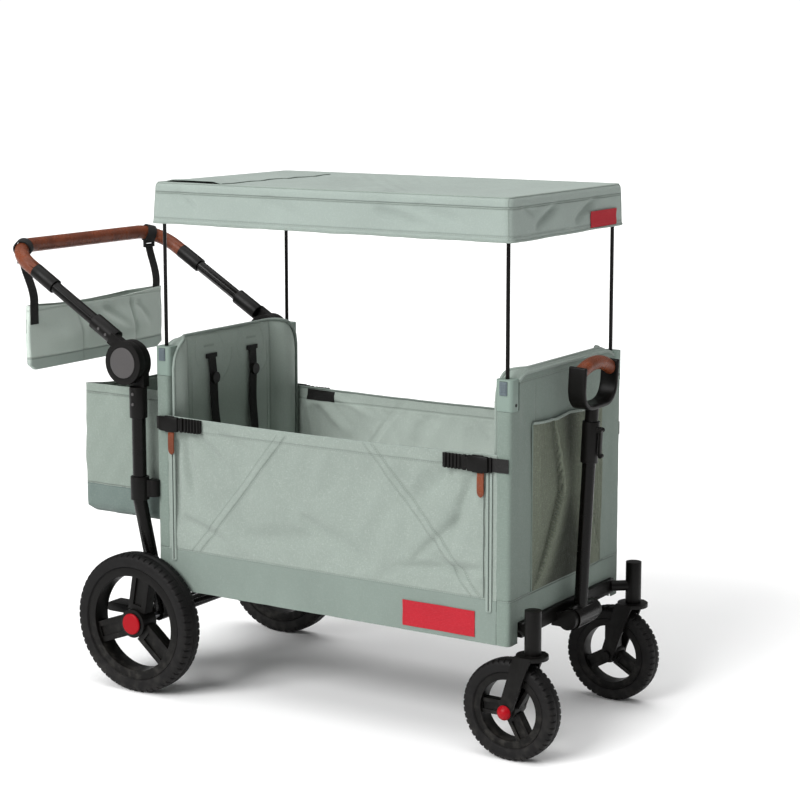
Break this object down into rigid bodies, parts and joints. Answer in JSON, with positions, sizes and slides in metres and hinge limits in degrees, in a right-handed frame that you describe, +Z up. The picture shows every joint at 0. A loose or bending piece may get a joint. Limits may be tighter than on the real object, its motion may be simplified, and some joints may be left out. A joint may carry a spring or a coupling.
{
  "type": "stroller wagon",
  "caption": "Folding stroller wagon: fabric tub with facing padded seats, tilting push handle, telescopic pull handle, swivel casters and a flat canopy on lowering poles.",
  "frame": {"origin": "on the ground, under the middle of the wagon's overall box", "axes": "+X forwards to the pull handle, +Y to the wagon's left, +Z up"},
  "size_m": [1.3724, 0.5946, 1.0999],
  "materials": {
    "frame_black": "satin black powder coat",
    "plastic_black": "fine texture",
    "plastic_grey": "satin",
    "plastic_sage": "satin",
    "plastic_red": "gloss",
    "fabric_sage": "heather weave",
    "fabric_dark": "smooth weave",
    "webbing_black": "ribbed webbing",
    "leather_tan": "stitched",
    "tyre_black": "matt",
    "steel_axle": "ground"
  },
  "bodies": {
    "rear_frame": {"rear_end_frame": "frame_black", "rear_pole_sockets": "plastic_sage", "push_frame": "frame_black", "upright_clamps": "plastic_black", "hub_sockets": "plastic_black", "rear_axle": "steel_axle", "rear_axle_caps": "plastic_red", "rear_end_cover": "fabric_dark", "rear_seat_back": "fabric_dark", "rear_harness": "webbing_black", "side_wall_right": "fabric_sage", "side_wall_left": "fabric_sage", "rear_side_buckles": "plastic_black", "storage_bag": "fabric_sage"},
    "floor_rear": {"floor_frame_rear": "frame_black", "floor_mat_rear": "fabric_dark", "fold_strap": "webbing_black"},
    "floor_front": {"floor_frame_front": "frame_black", "floor_mat_front": "fabric_dark"},
    "front_frame": {"front_end_frame": "frame_black", "front_pole_sockets": "plastic_sage", "front_end_cover": "fabric_dark", "front_seat_back": "fabric_dark", "front_harness": "webbing_black", "front_beam": "frame_black", "front_side_buckles": "plastic_black", "mesh_pockets": "fabric_sage"},
    "caster_right": {"caster_fork_right": "frame_black", "front_axle_right": "plastic_red"},
    "caster_left": {"caster_fork_left": "frame_black", "front_axle_left": "plastic_red"},
    "front_wheel_right": {"front_rim_right": "plastic_black", "front_tyre_right": "tyre_black"},
    "front_wheel_left": {"front_rim_left": "plastic_black", "front_tyre_left": "tyre_black"},
    "rear_wheel_right": {"rear_rim_right": "plastic_black", "rear_tyre_right": "tyre_black"},
    "rear_wheel_left": {"rear_rim_left": "plastic_black", "rear_tyre_left": "tyre_black"},
    "push_handle": {"handle_bar": "frame_black", "handle_grip": "leather_tan", "hub_arms": "plastic_black", "organizer_loops": "webbing_black"},
    "hub_key_right": {"hub_button_right": "plastic_grey"},
    "hub_key_left": {"hub_button_left": "plastic_grey"},
    "organizer": {"organizer_pouch": "fabric_sage", "organizer_straps": "webbing_black"},
    "pull_handle": {"pull_tube": "frame_black", "pull_sleeve": "plastic_black"},
    "pull_inner": {"pull_grip_frame": "plastic_black", "pull_grip": "leather_tan"},
    "pull_release": {"pull_lever": "plastic_black"},
    "canopy_rear": {"canopy_hoop_rear": "frame_black", "canopy_cover": "fabric_sage"},
    "canopy_front": {"canopy_hoop_front": "frame_black"},
    "brake": {"brake_pedal": "plastic_black"},
    "pole_key_rear_right": {"pole_button_rear_right": "plastic_grey"},
    "pole_key_rear_left": {"pole_button_rear_left": "plastic_grey"},
    "pole_key_front_right": {"pole_button_front_right": "plastic_grey"},
    "pole_key_front_left": {"pole_button_front_left": "plastic_grey"}
  },
  "joints": [
    {"name": "fold", "type": "hinge", "parent": "rear_frame", "child": "floor_rear", "pos_m": [-0.23883, 0, 0.258], "axis": [0, -1, 0], "range_deg": [0, 75], "deforming": ["side_wall_right", "side_wall_left", "canopy_cover", "rear_seat_back", "front_seat_back"]},
    {"name": "fold_knee", "type": "hinge", "parent": "floor_rear", "child": "floor_front", "pos_m": [0.15317, 0, 0.258], "axis": [0, -1, 0], "range_deg": [-150, 0]},
    {"name": "fold_front", "type": "hinge", "parent": "floor_front", "child": "front_frame", "pos_m": [0.54517, 0, 0.258], "axis": [0, -1, 0], "range_deg": [0, 75]},
    {"name": "rear_wheel_right_spin", "type": "hinge", "parent": "rear_frame", "child": "rear_wheel_right", "pos_m": [-0.31183, -0.269, 0.152], "axis": [0, 1, 0], "continuous": true},
    {"name": "rear_wheel_left_spin", "type": "hinge", "parent": "rear_frame", "child": "rear_wheel_left", "pos_m": [-0.31183, 0.269, 0.152], "axis": [0, 1, 0], "continuous": true},
    {"name": "caster_right_swivel", "type": "hinge", "parent": "front_frame", "child": "caster_right", "pos_m": [0.62817, -0.2225, 0.258], "axis": [0, 0, 1], "continuous": true},
    {"name": "front_wheel_right_spin", "type": "hinge", "parent": "caster_right", "child": "front_wheel_right", "pos_m": [0.58317, -0.2225, 0.1015], "axis": [0, 1, 0], "continuous": true},
    {"name": "caster_left_swivel", "type": "hinge", "parent": "front_frame", "child": "caster_left", "pos_m": [0.62817, 0.2225, 0.258], "axis": [0, 0, 1], "continuous": true},
    {"name": "front_wheel_left_spin", "type": "hinge", "parent": "caster_left", "child": "front_wheel_left", "pos_m": [0.58317, 0.2225, 0.1015], "axis": [0, 1, 0], "continuous": true},
    {"name": "handle_tilt", "type": "hinge", "parent": "rear_frame", "child": "push_handle", "pos_m": [-0.33783, 0, 0.715], "axis": [0, 1, 0], "range_deg": [-90, 40]},
    {"name": "organizer_hang", "type": "hinge", "parent": "push_handle", "child": "organizer", "pos_m": [-0.66165, 0, 0.90944], "axis": [0, 1, 0], "range_deg": [-40, 90]},
    {"name": "pull_tilt", "type": "hinge", "parent": "front_frame", "child": "pull_handle", "pos_m": [0.61617, 0, 0.243], "axis": [0, 1, 0], "range_deg": [0, 95]},
    {"name": "pull_extend", "type": "slide", "parent": "pull_handle", "child": "pull_inner", "axis": [0.0489, 0, 0.9988], "range_m": [0, 0.2]},
    {"name": "pull_lever_flip", "type": "hinge", "parent": "pull_handle", "child": "pull_release", "pos_m": [0.65741, 0, 0.62544], "axis": [0, -1, 0], "range_deg": [0, 35], "stiffness_Nm_per_rad": 0.2},
    {"name": "canopy_drop", "type": "slide", "parent": "rear_frame", "child": "canopy_rear", "axis": [0, 0, 1], "range_m": [-0.24, 0]},
    {"name": "canopy_drop_front", "type": "slide", "parent": "front_frame", "child": "canopy_front", "axis": [0, 0, 1], "range_m": [-0.24, 0]},
    {"name": "brake_press", "type": "hinge", "parent": "rear_frame", "child": "brake", "pos_m": [-0.34783, 0, 0.152], "axis": [0, -1, 0], "range_deg": [0, 18]},
    {"name": "hub_button_right_press", "type": "slide", "parent": "push_handle", "child": "hub_key_right", "axis": [0, 1, 0], "range_m": [0, 0.004], "stiffness_N_per_m": 1500},
    {"name": "pole_button_rear_right_press", "type": "slide", "parent": "rear_frame", "child": "pole_key_rear_right", "axis": [0, 1, 0], "range_m": [0, 0.002], "stiffness_N_per_m": 800},
    {"name": "pole_button_front_right_press", "type": "slide", "parent": "front_frame", "child": "pole_key_front_right", "axis": [0, 1, 0], "range_m": [0, 0.002], "stiffness_N_per_m": 800},
    {"name": "hub_button_left_press", "type": "slide", "parent": "push_handle", "child": "hub_key_left", "axis": [0, -1, 0], "range_m": [0, 0.004], "stiffness_N_per_m": 1500},
    {"name": "pole_button_rear_left_press", "type": "slide", "parent": "rear_frame", "child": "pole_key_rear_left", "axis": [0, -1, 0], "range_m": [0, 0.002], "stiffness_N_per_m": 800},
    {"name": "pole_button_front_left_press", "type": "slide", "parent": "front_frame", "child": "pole_key_front_left", "axis": [0, -1, 0], "range_m": [0, 0.002], "stiffness_N_per_m": 800}
  ],
  "couplings": [
    {"joint": "fold_knee", "follows": "fold", "ratio": -2},
    {"joint": "fold_front", "follows": "fold", "ratio": 1},
    {"joint": "organizer_hang", "follows": "handle_tilt", "ratio": -1},
    {"joint": "canopy_drop_front", "follows": "canopy_drop", "ratio": 1}
  ]
}
